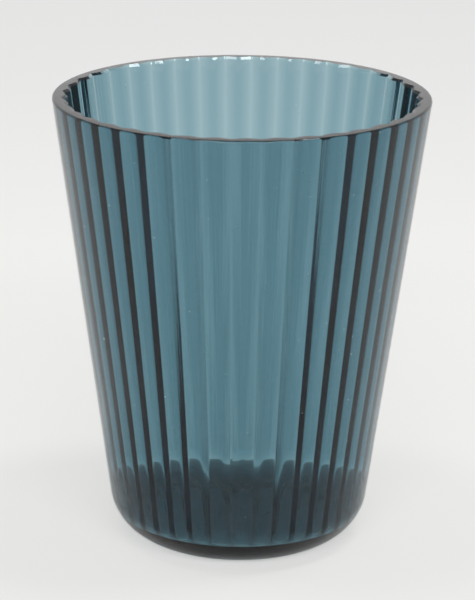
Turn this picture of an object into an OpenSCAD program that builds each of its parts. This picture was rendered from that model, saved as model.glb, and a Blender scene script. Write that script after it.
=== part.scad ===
// Clear tinted plastic tumbler, one conical moulding: smooth outside, reeded inside.
// The origin is the centre of the foot on the table, and +Z runs up the axis to the rim.
// The moulding is given as its four zones, which meet face to face: rim, wall, floor and foot.

/* [Outside] */
// Height from the table to the top of the rim
height = 108; // [80:1:150]
// Outside diameter at the top of the rim, before its edge is rounded
rim_d = 88.6; // [74:0.2:104]
// Diameter of the outside cone where it would reach the table
base_d = 59.7; // [48:0.1:70]
// Radius of the rounded heel between the wall and the foot
heel_r = 11.5; // [8:0.5:14]

/* [Wall and floor] */
// Thickness of the wall in the valleys between the ribs
wall = 2.6; // [1.8:0.1:3.4]
// Height of the inside floor above the table
floor_z = 6.7; // [4:0.1:8]

/* [Ribs] */
// Number of ribs round the inside
rib_count = 40; // [28:1:48]
// Radius of the rounded crest of a rib, at the rim
crest_r = 3; // [1.5:0.1:5]
// Slope against the wall where a rib's crest runs into its flanks, in degrees
crest_slope = 16; // [8:1:22]
// Radius of the gently curved flanks of a rib, at the rim
flank_r = 27; // [18:1:60]
// Height above the floor up to which the inside is plain
run_low = 0.5; // [0.3:0.1:1.2]
// Height above the floor from which the ribs have their full depth
run_high = 2.5; // [1.8:0.1:5]

/* [Rim] */
// Depth of the rim zone below the top
rim_h = 2.5; // [1.5:0.1:5]
// Radius of the rounded outer edge of the rim
lip_r = 0.5; // [0.3:0.1:0.8]
// Width and depth of the bevel round the scalloped inner edge of the rim
bevel = 0.9; // [0.3:0.1:0.9]

/* [Foot] */
// Width of the flat ring that stands on the table
foot_w = 2.6; // [1:0.1:5]
// Depth of the recess inside the foot ring
foot_h = 0.8; // [0.4:0.1:2]
// Diameter of the moulding gate's mark under the floor
gate_d = 4; // [2:0.5:8]
// Height of the gate's mark
gate_h = 0.3; // [0.1:0.1:0.4]

/* [Hidden] */
$fn = 96;
tint = [0.36, 0.52, 0.57, 0.85];

// The cone: how much its radius grows for each millimetre of height, and its angle to the axis
growth = (rim_d - base_d) / 2 / height;
taper = atan(growth);
function cone_r(z) = base_d / 2 + growth * z;

// The rim begins here, and cutting shapes run past the faces that they cut by this much
rim_z = height - rim_h;
past = 1;

// The valleys lie on this circle at the rim, and half a rib's width is measured along it
valley_r = rim_d / 2 - wall;
half_rib = PI * valley_r / rib_count;

// A rib's crest is an arc that runs into a wider arc, its flank, at crest_half from its middle
crest_half = crest_r * sin(crest_slope);
flank_x = crest_half - flank_r * sin(crest_slope);
flank_y = (crest_r - flank_r) * cos(crest_slope);
function arc_y(r, x) = sqrt(r * r - x * x);
valley_y = flank_y + arc_y(flank_r, half_rib - flank_x);
function rib_rise(x) =
    (x < crest_half ? arc_y(crest_r, x) : flank_y + arc_y(flank_r, x - flank_x)) - valley_y;

// Points across a rib, as distances from its middle: the valley, the flanks and the crest
flank_steps = 3;
crest_steps = 3;
half_xs = [
    for (i = [0 : flank_steps - 1]) half_rib + (crest_half - half_rib) * i / flank_steps,
    for (i = [0 : crest_steps]) crest_half * (1 - i / crest_steps)
];
last_x = len(half_xs) - 1;
function rib_point(rib, x, rise) =
    let (a = (rib + x / half_rib / 2) * 360 / rib_count - 90)
    (valley_r - rise) * [cos(a), sin(a)];

// The plain foot of the inside stands this far in front of the crests, and its flare ends as far behind the valleys
run_past = 0.1;
function plain_r(z) = (cone_r(z) - wall) * (1 - rib_rise(0) / valley_r) - run_past;

// The foot stands on the table between the recess and the start of the heel
heel_x = cone_r(heel_r) - heel_r / cos(taper);
recess_r = heel_x - foot_w;

// Half section of the outside: the cone with its rounded heel
module outside_section() {
    z_high = height + past;
    polygon([
        [0, 0], [heel_x, 0], [heel_x, heel_r],
        [heel_x + heel_r * cos(taper), heel_r - heel_r * sin(taper)],
        [cone_r(z_high), z_high], [0, z_high]
    ]);
    translate([heel_x, heel_r]) circle(heel_r);
}

// The part of the outside's half section between two heights
module outside_band(z_low, z_high) {
    intersection() {
        outside_section();
        translate([0, z_low]) square([rim_d, z_high - z_low]);
    }
}

// Half section of the space above the floor: a plain foot, then a flare behind the valleys
module run_out_section() {
    z_low = floor_z + run_low;
    z_full = floor_z + run_high;
    z_high = height + past;
    polygon([
        [0, floor_z], [plain_r(floor_z), floor_z], [plain_r(z_low), z_low],
        [cone_r(z_full) - wall + run_past, z_full],
        [cone_r(z_high) - wall + run_past, z_high], [0, z_high]
    ]);
}

// Half section of the rim, with its rounded outer edge
module rim_section() {
    z = height - lip_r;
    x = cone_r(z) - lip_r / cos(taper);
    polygon([
        [0, rim_z], [cone_r(rim_z), rim_z],
        [x + lip_r * cos(taper), z - lip_r * sin(taper)],
        [x, z], [x, height], [0, height]
    ]);
    translate([x, z]) circle(lip_r);
}

// Outline of the reeded inside at the rim: ribs swell inwards and meet in sharp valleys
module reeded_outline() {
    polygon([
        for (rib = [0 : rib_count - 1])
            each [
                for (x = half_xs) rib_point(rib, -x, rib_rise(x)),
                for (i = [last_x - 1 : -1 : 1]) rib_point(rib, half_xs[i], rib_rise(half_xs[i]))
            ]
    ]);
}

// The reeded space inside the wall: the outline narrows with the cone towards the floor
module reeded_space() {
    z_low = floor_z - past;
    z_high = height + past;
    low = (cone_r(z_low) - wall) / valley_r;
    high = (cone_r(z_high) - wall) / valley_r;
    translate([0, 0, z_low])
        linear_extrude(height = z_high - z_low, scale = high / low)
            scale(low) reeded_outline();
}

// Inside of the tumbler: the reeded space, where the ribs run out just above the floor
module cavity() {
    intersection() {
        reeded_space();
        rotate_extrude() run_out_section();
    }
}

// The bevel at the mouth follows the ribs: their outline widens to the top
module mouth_bevel() {
    low = (cone_r(height - bevel) - wall) / valley_r;
    high = low + (1 + growth) * bevel / valley_r;
    translate([0, 0, height - bevel])
        linear_extrude(height = 2 * bevel, scale = 2 * high / low - 1)
            scale(low) reeded_outline();
}

module drinking_rim() {
    color(tint) difference() {
        rotate_extrude() rim_section();
        reeded_space();
        mouth_bevel();
    }
}

module fluted_wall() {
    color(tint) difference() {
        rotate_extrude() outside_band(floor_z, rim_z);
        cavity();
    }
}

module floor_disc() {
    color(tint) {
        rotate_extrude() outside_band(foot_h, floor_z);
        translate([0, 0, foot_h - gate_h]) cylinder(d = gate_d, h = gate_h);
    }
}

module foot_ring() {
    color(tint) rotate_extrude() difference() {
        outside_band(0, foot_h);
        square([recess_r, foot_h]);
    }
}

drinking_rim();
fluted_wall();
floor_disc();
foot_ring();
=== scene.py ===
# Clear tinted plastic tumbler: one continuous moulding that stands for the four CAD zones.
import math

import bmesh
import bpy
from mathutils import Matrix, Vector


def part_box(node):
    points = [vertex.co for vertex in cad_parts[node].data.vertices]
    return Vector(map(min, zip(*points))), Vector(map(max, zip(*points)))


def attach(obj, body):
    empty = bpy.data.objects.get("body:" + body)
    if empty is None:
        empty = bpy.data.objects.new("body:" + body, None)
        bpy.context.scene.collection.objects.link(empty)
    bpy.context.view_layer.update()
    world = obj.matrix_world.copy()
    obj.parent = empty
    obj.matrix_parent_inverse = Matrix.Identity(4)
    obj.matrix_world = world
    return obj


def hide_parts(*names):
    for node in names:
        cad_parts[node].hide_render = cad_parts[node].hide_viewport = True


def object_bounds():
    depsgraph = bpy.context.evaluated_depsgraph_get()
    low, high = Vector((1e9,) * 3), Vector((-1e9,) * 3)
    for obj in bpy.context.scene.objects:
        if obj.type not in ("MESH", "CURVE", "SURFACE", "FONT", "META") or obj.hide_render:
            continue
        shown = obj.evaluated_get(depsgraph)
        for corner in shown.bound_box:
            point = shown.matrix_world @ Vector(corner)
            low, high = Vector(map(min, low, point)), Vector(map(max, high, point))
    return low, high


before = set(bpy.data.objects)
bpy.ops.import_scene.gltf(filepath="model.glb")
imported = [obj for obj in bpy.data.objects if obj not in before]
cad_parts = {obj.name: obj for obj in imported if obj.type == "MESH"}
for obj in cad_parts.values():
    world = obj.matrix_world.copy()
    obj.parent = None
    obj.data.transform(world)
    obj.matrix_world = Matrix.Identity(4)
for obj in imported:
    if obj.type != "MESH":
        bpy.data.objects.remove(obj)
cadLow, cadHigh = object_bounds()
mm = 0.001
print("frame loaded:", ", ".join(sorted(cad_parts)))


# helpers for colours, nodes and arcs
def linear(hexColour):
    channels = [int(hexColour[i:i + 2], 16) / 255 for i in (1, 3, 5)]
    return [c / 12.92 if c <= 0.04045 else ((c + 0.055) / 1.055) ** 2.4 for c in channels] + [1.0]


def addNode(tree, kind, settings=None, **inputs):
    node = tree.nodes.new(kind)
    for key, value in (settings or {}).items():
        setattr(node, key, value)
    # an input is named, or numbered as _0, _1 and so on
    for key, value in inputs.items():
        socket = node.inputs[int(key[1:])] if key[1:].isdigit() else node.inputs[key.replace("_", " ")]
        if isinstance(value, bpy.types.NodeSocket):
            tree.links.new(value, socket)
        else:
            socket.default_value = value
    return node


def arcPoints(centreX, centreZ, radius, start, end, steps):
    angles = [math.radians(start + (end - start) * i / steps) for i in range(steps + 1)]
    return [(centreX + radius * math.cos(a), centreZ + radius * math.sin(a)) for a in angles]


# the moulding, in millimetres and degrees; its heights come from the CAD zones
moulding = {
    "height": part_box("drinking_rim")[1].z / mm,
    "floorZ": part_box("floor_disc")[1].z / mm,
    "footTall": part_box("foot_ring")[1].z / mm,
    "rimWide": 88.6,
    "baseWide": 59.7,  # where the outside cone would reach the table
    "heelRound": 11.5,
    "wall": 2.6,  # in the valleys between the ribs
    "ribCount": 40,
    "crestRound": 3.0,
    "crestSlope": 16,  # where a crest runs into its flanks
    "flankRound": 27,
    "runOutLeft": 0.3,  # share of the ribs' depth at the floor
    "runOutHigh": 3,  # height above the floor where the ribs have their full depth
    "lipRound": 0.5,
    "bevelWide": 0.6,
    "bevelTall": 0.55,
    "footWide": 2.6,
    "footSlope": 4.5,
    "gateWide": 4,
    "gateTall": 0.3,
    "stepsPerRib": 18,
    "wallRings": 10,
    "runOutRings": 16,
    "lipSteps": 8,
    "heelSteps": 20,
    "slopeSteps": 16,
    "mergeDist": 0.0005,
    "crispAngle": 28,
    "crispUpright": 60,
}


def coneRadius(m, z):
    return m["baseWide"] / 2 + (m["rimWide"] - m["baseWide"]) / 2 * z / m["height"]


def mouldingProfile(m):
    taper = math.degrees(math.atan((m["rimWide"] - m["baseWide"]) / 2 / m["height"]))
    slant = math.cos(math.radians(taper))
    height, floorZ, wall = m["height"], m["floorZ"], m["wall"]
    lip, heel, foot = m["lipRound"], m["heelRound"], m["footTall"]
    # inside, along the valleys: floor, wall and the bevel at the mouth
    points = [(0, floorZ), (coneRadius(m, floorZ) / 2, floorZ)]
    fullZ = floorZ + m["runOutHigh"]
    highZ = height - m["bevelTall"]
    heights = [floorZ + m["runOutHigh"] * i / m["runOutRings"] for i in range(m["runOutRings"])]
    heights += [fullZ + (highZ - fullZ) * i / m["wallRings"] for i in range(m["wallRings"] + 1)]
    points += [(coneRadius(m, z) - wall, z) for z in heights]
    points.append((coneRadius(m, highZ) - wall + m["bevelWide"], height))
    # lip, outside wall and heel
    lipX = coneRadius(m, height - lip) - lip / slant
    points += arcPoints(lipX, height - lip, lip, 90, -taper, m["lipSteps"])
    lipLow = points[-1][1]
    heelX = coneRadius(m, heel) - heel / slant
    heelTop = heel - heel * math.sin(math.radians(taper))
    for i in range(1, m["wallRings"]):
        z = lipLow + (heelTop - lipLow) * i / m["wallRings"]
        points.append((coneRadius(m, z), z))
    points += arcPoints(heelX, heel, heel, -taper, -90, m["heelSteps"])
    # foot ring, the soft slope of the recess and the mark of the gate
    recessX = heelX - m["footWide"]
    for i in range(m["slopeSteps"] + 1):
        share = i / m["slopeSteps"]
        points.append((recessX - m["footSlope"] * share, foot * (1 - math.cos(math.pi * share)) / 2))
    gateX = m["gateWide"] / 2
    gateZ = foot - m["gateTall"]
    points += [(gateX, foot), (gateX, gateZ), (0, gateZ)]
    return points


def ribRise(m, angle):
    # how far the inside swells in from the valleys: a round crest that runs into gently curved flanks
    half = math.pi * (m["rimWide"] / 2 - m["wall"]) / m["ribCount"]
    crest, flank = m["crestRound"], m["flankRound"]
    slope = math.radians(m["crestSlope"])
    crestHalf = crest * math.sin(slope)
    flankX = crestHalf - flank * math.sin(slope)
    flankZ = (crest - flank) * math.cos(slope) - crest
    valleyZ = flankZ + math.sqrt(flank ** 2 - (half - flankX) ** 2)
    turns = (angle + math.pi / 2) * m["ribCount"] / (2 * math.pi)
    x = abs(turns - round(turns)) * 2 * half
    if x < crestHalf:
        return math.sqrt(crest ** 2 - x ** 2) - crest - valleyZ
    return flankZ + math.sqrt(flank ** 2 - (x - flankX) ** 2) - valleyZ


def buildMoulding(m):
    startTurn = Matrix.Rotation(-math.pi / 2 + math.pi / m["ribCount"], 4, "Z")
    bm = bmesh.new()
    verts = [bm.verts.new(startTurn @ Vector((x, 0, z))) for x, z in mouldingProfile(m)]
    edges = [bm.edges.new(pair) for pair in zip(verts, verts[1:])]
    bmesh.ops.spin(bm, geom=verts + edges, cent=(0, 0, 0), axis=(0, 0, 1), dvec=(0, 0, 0),
                   angle=2 * math.pi, steps=m["ribCount"] * m["stepsPerRib"],
                   use_merge=True, use_duplicate=False)
    bmesh.ops.remove_doubles(bm, verts=bm.verts, dist=m["mergeDist"])
    # the ribs: points on the inner side of the wall move in towards the axis
    for v in bm.verts:
        radius = math.hypot(v.co.x, v.co.y)
        above = v.co.z - m["floorZ"]
        deep = coneRadius(m, v.co.z) - radius
        onInside = m["wall"] / 2 < deep < m["wall"] + m["mergeDist"]
        if above < -m["mergeDist"] or not onInside:
            continue
        share = m["runOutLeft"] + (1 - m["runOutLeft"]) * min(max(above / m["runOutHigh"], 0), 1)
        moved = radius - ribRise(m, math.atan2(v.co.y, v.co.x)) * share
        v.co.x *= moved / radius
        v.co.y *= moved / radius
    bmesh.ops.scale(bm, vec=(mm, mm, mm), verts=bm.verts)
    bmesh.ops.recalc_face_normals(bm, faces=bm.faces)
    for f in bm.faces:
        f.smooth = True
    # edges stay crisp round the rim and the floor, and soft along the ribs' valleys
    for e in bm.edges:
        rise = abs(e.verts[0].co.z - e.verts[1].co.z)
        limit = m["crispUpright"] if rise > e.calc_length() / 2 else m["crispAngle"]
        e.smooth = e.calc_face_angle(0) < math.radians(limit)
    mesh = bpy.data.meshes.new("tumbler_moulding")
    bm.to_mesh(mesh)
    bm.free()
    piece = bpy.data.objects.new("tumbler_moulding", mesh)
    bpy.context.scene.collection.objects.link(piece)
    return piece


# clear acrylic, moulded smooth and tinted smoky teal in the mass: thick places go dark,
# and fine upright flow lines shimmer in it; lengths in millimetres
acrylic = {
    "ior": 1.5,
    "tint": "#a1cad3",
    "density": 570,
    "mirror": "#dadada",  # weakens the gleam of the surface a little
    "streakWide": 0.7,
    "streakLong": 50,
    "streakDeep": 0.018,
    "streakDetail": 1.0,
    "streakFade": 3,
    "speckApart": 5,
    "speckWide": 0.4,
    "speckCore": 0.6,
    "speckRough": 0.45,
}


def tintedAcrylic(p, m):
    material = bpy.data.materials.new("clear_tinted_acrylic")
    material.use_nodes = True
    tree = material.node_tree
    tree.nodes.clear()
    place = addNode(tree, "ShaderNodeTexCoord").outputs["Object"]
    # flow lines: noise that is fine round the axis and long along it, and fades out at the floor
    flat = addNode(tree, "ShaderNodeVectorMath", {"operation": "MULTIPLY"}, _0=place, _1=(1, 1, 0))
    around = addNode(tree, "ShaderNodeVectorMath", {"operation": "NORMALIZE"}, _0=flat.outputs[0])
    ring = addNode(tree, "ShaderNodeVectorMath", {"operation": "SCALE"}, _0=around.outputs[0],
                   Scale=m["rimWide"] / 2 * mm)
    upright = addNode(tree, "ShaderNodeVectorMath", {"operation": "MULTIPLY_ADD"}, _0=place,
                      _1=(0, 0, p["streakWide"] / p["streakLong"]), _2=ring.outputs[0])
    lines = addNode(tree, "ShaderNodeTexNoise", Vector=upright.outputs[0],
                    Scale=1 / (p["streakWide"] * mm), Detail=p["streakDetail"])
    axes = addNode(tree, "ShaderNodeSeparateXYZ", _0=place)
    fade = addNode(tree, "ShaderNodeMapRange", Value=axes.outputs["Z"], From_Min=m["floorZ"] * mm,
                   From_Max=(m["floorZ"] + p["streakFade"]) * mm)
    bump = addNode(tree, "ShaderNodeBump", Height=lines.outputs["Fac"], Strength=fade.outputs[0],
                   Distance=p["streakDeep"] * mm)
    # dust specks: small dull spots, far apart
    specks = addNode(tree, "ShaderNodeTexVoronoi", Vector=place, Scale=1 / (p["speckApart"] * mm))
    size = p["speckWide"] / 2 / p["speckApart"]
    dull = addNode(tree, "ShaderNodeMapRange", Value=specks.outputs["Distance"],
                   From_Min=size * p["speckCore"], From_Max=size, To_Min=p["speckRough"], To_Max=0.0)
    shader = addNode(tree, "ShaderNodeBsdfPrincipled", Base_Color=(1, 1, 1, 1), IOR=p["ior"],
                     Transmission_Weight=1.0, Specular_Tint=linear(p["mirror"]),
                     Roughness=dull.outputs[0], Normal=bump.outputs[0])
    body = addNode(tree, "ShaderNodeVolumeAbsorption", Color=linear(p["tint"]), Density=p["density"])
    addNode(tree, "ShaderNodeOutputMaterial", Surface=shader.outputs[0], Volume=body.outputs[0])
    return material


tumbler = buildMoulding(moulding)
tumbler.data.materials.append(tintedAcrylic(acrylic, moulding))
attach(tumbler, "root")
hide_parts("drinking_rim", "fluted_wall", "floor_disc", "foot_ring")
print("moulding built:", len(tumbler.data.polygons), "faces")

# floor and backdrop in one flat pale card, in millimetres
paleCard = {
    "wide": 3000,
    "front": 1500,
    "back": 1500,
    "colour": "#f1f0ee",
    # tones of a painted glow, graded along the depth like a pool of light
    "paintedGlowNear": "#ebebe9",
    "paintedGlowMiddle": "#fafaf8",
    "paintedGlowFar": "#f3f3f3",
    "nearY": -80,
    "middle": 0.45,  # place of the brightest painted glow between nearY and farY
    "farY": 480,
    "paintedGlowShare": 0.6,  # how much of the painted glow the camera sees
    "throughShare": 0.9,  # how much of the painted glow the clear plastic shows, away from the tumbler's shadow
    "shadeIn": 22,
    "shadeOut": 62,
}


# matt white card that takes the tumbler's soft shadow, under a painted glow that is dimmer in front and
# far back and brightest a little behind the tumbler
def cardWithPaintedGlow(s):
    material = bpy.data.materials.new("white_card_painted_glow")
    material.use_nodes = True
    tree = material.node_tree
    tree.nodes.clear()
    card = addNode(tree, "ShaderNodeBsdfDiffuse", Color=linear(s["colour"]))
    place = addNode(tree, "ShaderNodeTexCoord").outputs["Object"]
    axes = addNode(tree, "ShaderNodeSeparateXYZ", _0=place)
    # painted glow: its tone is graded along the depth like a pool of light
    depth = addNode(tree, "ShaderNodeMapRange", Value=axes.outputs["Y"], From_Min=s["nearY"] * mm,
                    From_Max=s["farY"] * mm)
    paintedGlowRamp = addNode(tree, "ShaderNodeValToRGB", Fac=depth.outputs[0])
    paintedGlowRamp.color_ramp.elements.new(s["middle"])
    for element, name in zip(paintedGlowRamp.color_ramp.elements, ("paintedGlowNear", "paintedGlowMiddle", "paintedGlowFar")):
        element.color = linear(s[name])
    paintedGlow = addNode(tree, "ShaderNodeEmission", Color=paintedGlowRamp.outputs["Color"], Strength=1.0)
    # the camera and the clear plastic see the painted glow as well as the lit card; through the plastic
    # the glow fades out near the tumbler's foot, where the card shows only its own shade
    ray = addNode(tree, "ShaderNodeLightPath")
    away = addNode(tree, "ShaderNodeVectorMath", {"operation": "LENGTH"}, _0=place)
    clear = addNode(tree, "ShaderNodeMapRange", {"interpolation_type": "SMOOTHSTEP"},
                    Value=away.outputs["Value"], From_Min=s["shadeIn"] * mm,
                    From_Max=s["shadeOut"] * mm, To_Min=0.0, To_Max=s["throughShare"])
    through = addNode(tree, "ShaderNodeMath", {"operation": "MULTIPLY"},
                      _0=ray.outputs["Is Transmission Ray"], _1=clear.outputs[0])
    share = addNode(tree, "ShaderNodeMath", {"operation": "MULTIPLY_ADD"},
                    _0=ray.outputs["Is Camera Ray"], _1=s["paintedGlowShare"], _2=through.outputs[0])
    shader = addNode(tree, "ShaderNodeMixShader", _0=share.outputs[0], _1=card.outputs[0],
                     _2=paintedGlow.outputs[0])
    addNode(tree, "ShaderNodeOutputMaterial", Surface=shader.outputs[0])
    return material


def buildFloor(s):
    bm = bmesh.new()
    bmesh.ops.create_grid(bm, x_segments=1, y_segments=1, size=0.5)
    bmesh.ops.scale(bm, vec=(s["wide"] * mm, (s["front"] + s["back"]) * mm, 1), verts=bm.verts)
    bmesh.ops.translate(bm, vec=(0, (s["back"] - s["front"]) / 2 * mm, 0), verts=bm.verts)
    mesh = bpy.data.meshes.new("floor")
    bm.to_mesh(mesh)
    bm.free()
    mesh.materials.append(cardWithPaintedGlow(s))
    floor = bpy.data.objects.new("floor", mesh)
    bpy.context.scene.collection.objects.link(floor)


buildFloor(paleCard)
print("floor laid")

# soft light from all round, a wide strip in front and two lamps above for the glints; in millimetres
lighting = {
    "skyColour": "#ffffff",
    "skyLow": 1.0,
    "skyHigh": 0.4,
    "skyShare": 0.6,  # how much of the sky's level lights the matt card
    "stripWide": 1600,
    "stripTall": 220,
    "stripUp": 900,
    "stripFront": 1250,
    "stripRight": 80,
    "stripRadiance": 14,
    "pairWide": 380,
    "pairDeep": 230,
    "pairUp": 1400,
    "pairFront": 35,
    "pairRight": 30,
    "pairAside": 410,
    "pairLean": 0.25,  # the right lamp is stronger by this share, and the left one weaker
    "pairRadiance": 13,
}


def buildSky(s):
    world = bpy.data.worlds.new("studio")
    world.use_nodes = True
    bpy.context.scene.world = world
    tree = world.node_tree
    tree.nodes.clear()
    direction = addNode(tree, "ShaderNodeTexCoord")
    axes = addNode(tree, "ShaderNodeSeparateXYZ", Vector=direction.outputs["Generated"])
    grade = addNode(tree, "ShaderNodeMapRange", Value=axes.outputs["Z"], To_Min=s["skyLow"],
                    To_Max=s["skyHigh"])
    # the camera, reflections and the clear plastic see the whole level
    ray = addNode(tree, "ShaderNodeLightPath")
    direct = addNode(tree, "ShaderNodeMath", {"operation": "MAXIMUM"},
                     _0=ray.outputs["Is Camera Ray"], _1=ray.outputs["Is Glossy Ray"])
    seen = addNode(tree, "ShaderNodeMath", {"operation": "MAXIMUM"}, _0=direct.outputs[0],
                   _1=ray.outputs["Is Transmission Ray"])
    share = addNode(tree, "ShaderNodeMapRange", Value=seen.outputs[0], To_Min=s["skyShare"])
    level = addNode(tree, "ShaderNodeMath", {"operation": "MULTIPLY"}, _0=grade.outputs[0],
                    _1=share.outputs[0])
    sky = addNode(tree, "ShaderNodeBackground", Color=linear(s["skyColour"]), Strength=level.outputs[0])
    addNode(tree, "ShaderNodeOutputWorld", Surface=sky.outputs[0])


def addLamp(name, place, aim, wide, tall, radiance):
    data = bpy.data.lights.new(name, "AREA")
    data.shape = "RECTANGLE"
    data.size = wide * mm
    data.size_y = tall * mm
    data.energy = radiance * math.pi * data.size * data.size_y
    lamp = bpy.data.objects.new(name, data)
    lamp.location = Vector(place) * mm
    lamp.rotation_euler = (Vector(aim) * mm - lamp.location).to_track_quat("-Z", "Y").to_euler()
    bpy.context.scene.collection.objects.link(lamp)


def buildLamps(s):
    stripPlace = (s["stripRight"], -s["stripFront"], s["stripUp"])
    addLamp("front_strip", stripPlace, (0, 0, moulding["height"]), s["stripWide"], s["stripTall"],
            s["stripRadiance"])
    # the pair looks straight down
    for name, side in (("left_lamp", -1), ("right_lamp", 1)):
        across = s["pairRight"] + s["pairAside"] * side
        radiance = s["pairRadiance"] * (1 + s["pairLean"] * side)
        addLamp(name, (across, -s["pairFront"], s["pairUp"]), (across, -s["pairFront"], 0),
                s["pairWide"], s["pairDeep"], radiance)


buildSky(lighting)
buildLamps(lighting)
print("light set")

# the photograph's view: angles in degrees, lengths in millimetres
view = {
    "azimuth": -1.35,
    "elevation": 17.8,
    "roll": 0.53,
    "distance": 600,
    "lens": 150.3,
    "aimRight": -0.62,
    "aimUp": 3.62,
    "clipStart": 10,
}


def buildCamera(c):
    data = bpy.data.cameras.new("camera")
    data.lens = c["lens"]
    data.clip_start = c["clipStart"] * mm
    camera = bpy.data.objects.new("camera", data)
    bpy.context.scene.collection.objects.link(camera)
    turn = Matrix.Rotation(math.radians(c["azimuth"]), 4, "Z")
    tilt = Matrix.Rotation(math.radians(90 - c["elevation"]), 4, "X")
    roll = Matrix.Rotation(math.radians(c["roll"]), 4, "Z")
    shift = Matrix.Translation(Vector((c["aimRight"], c["aimUp"], c["distance"])) * mm)
    middle = Matrix.Translation((0, 0, cadHigh.z / 2))
    camera.matrix_world = middle @ turn @ tilt @ roll @ shift
    bpy.context.scene.camera = camera


buildCamera(view)

# light crosses the ribbed wall many times before it leaves, so it may bounce often
bounces = 40
scene = bpy.context.scene
scene.view_settings.view_transform = "Standard"
scene.cycles.max_bounces = bounces
scene.cycles.transmission_bounces = bounces
scene.cycles.glossy_bounces = bounces
print("camera set")
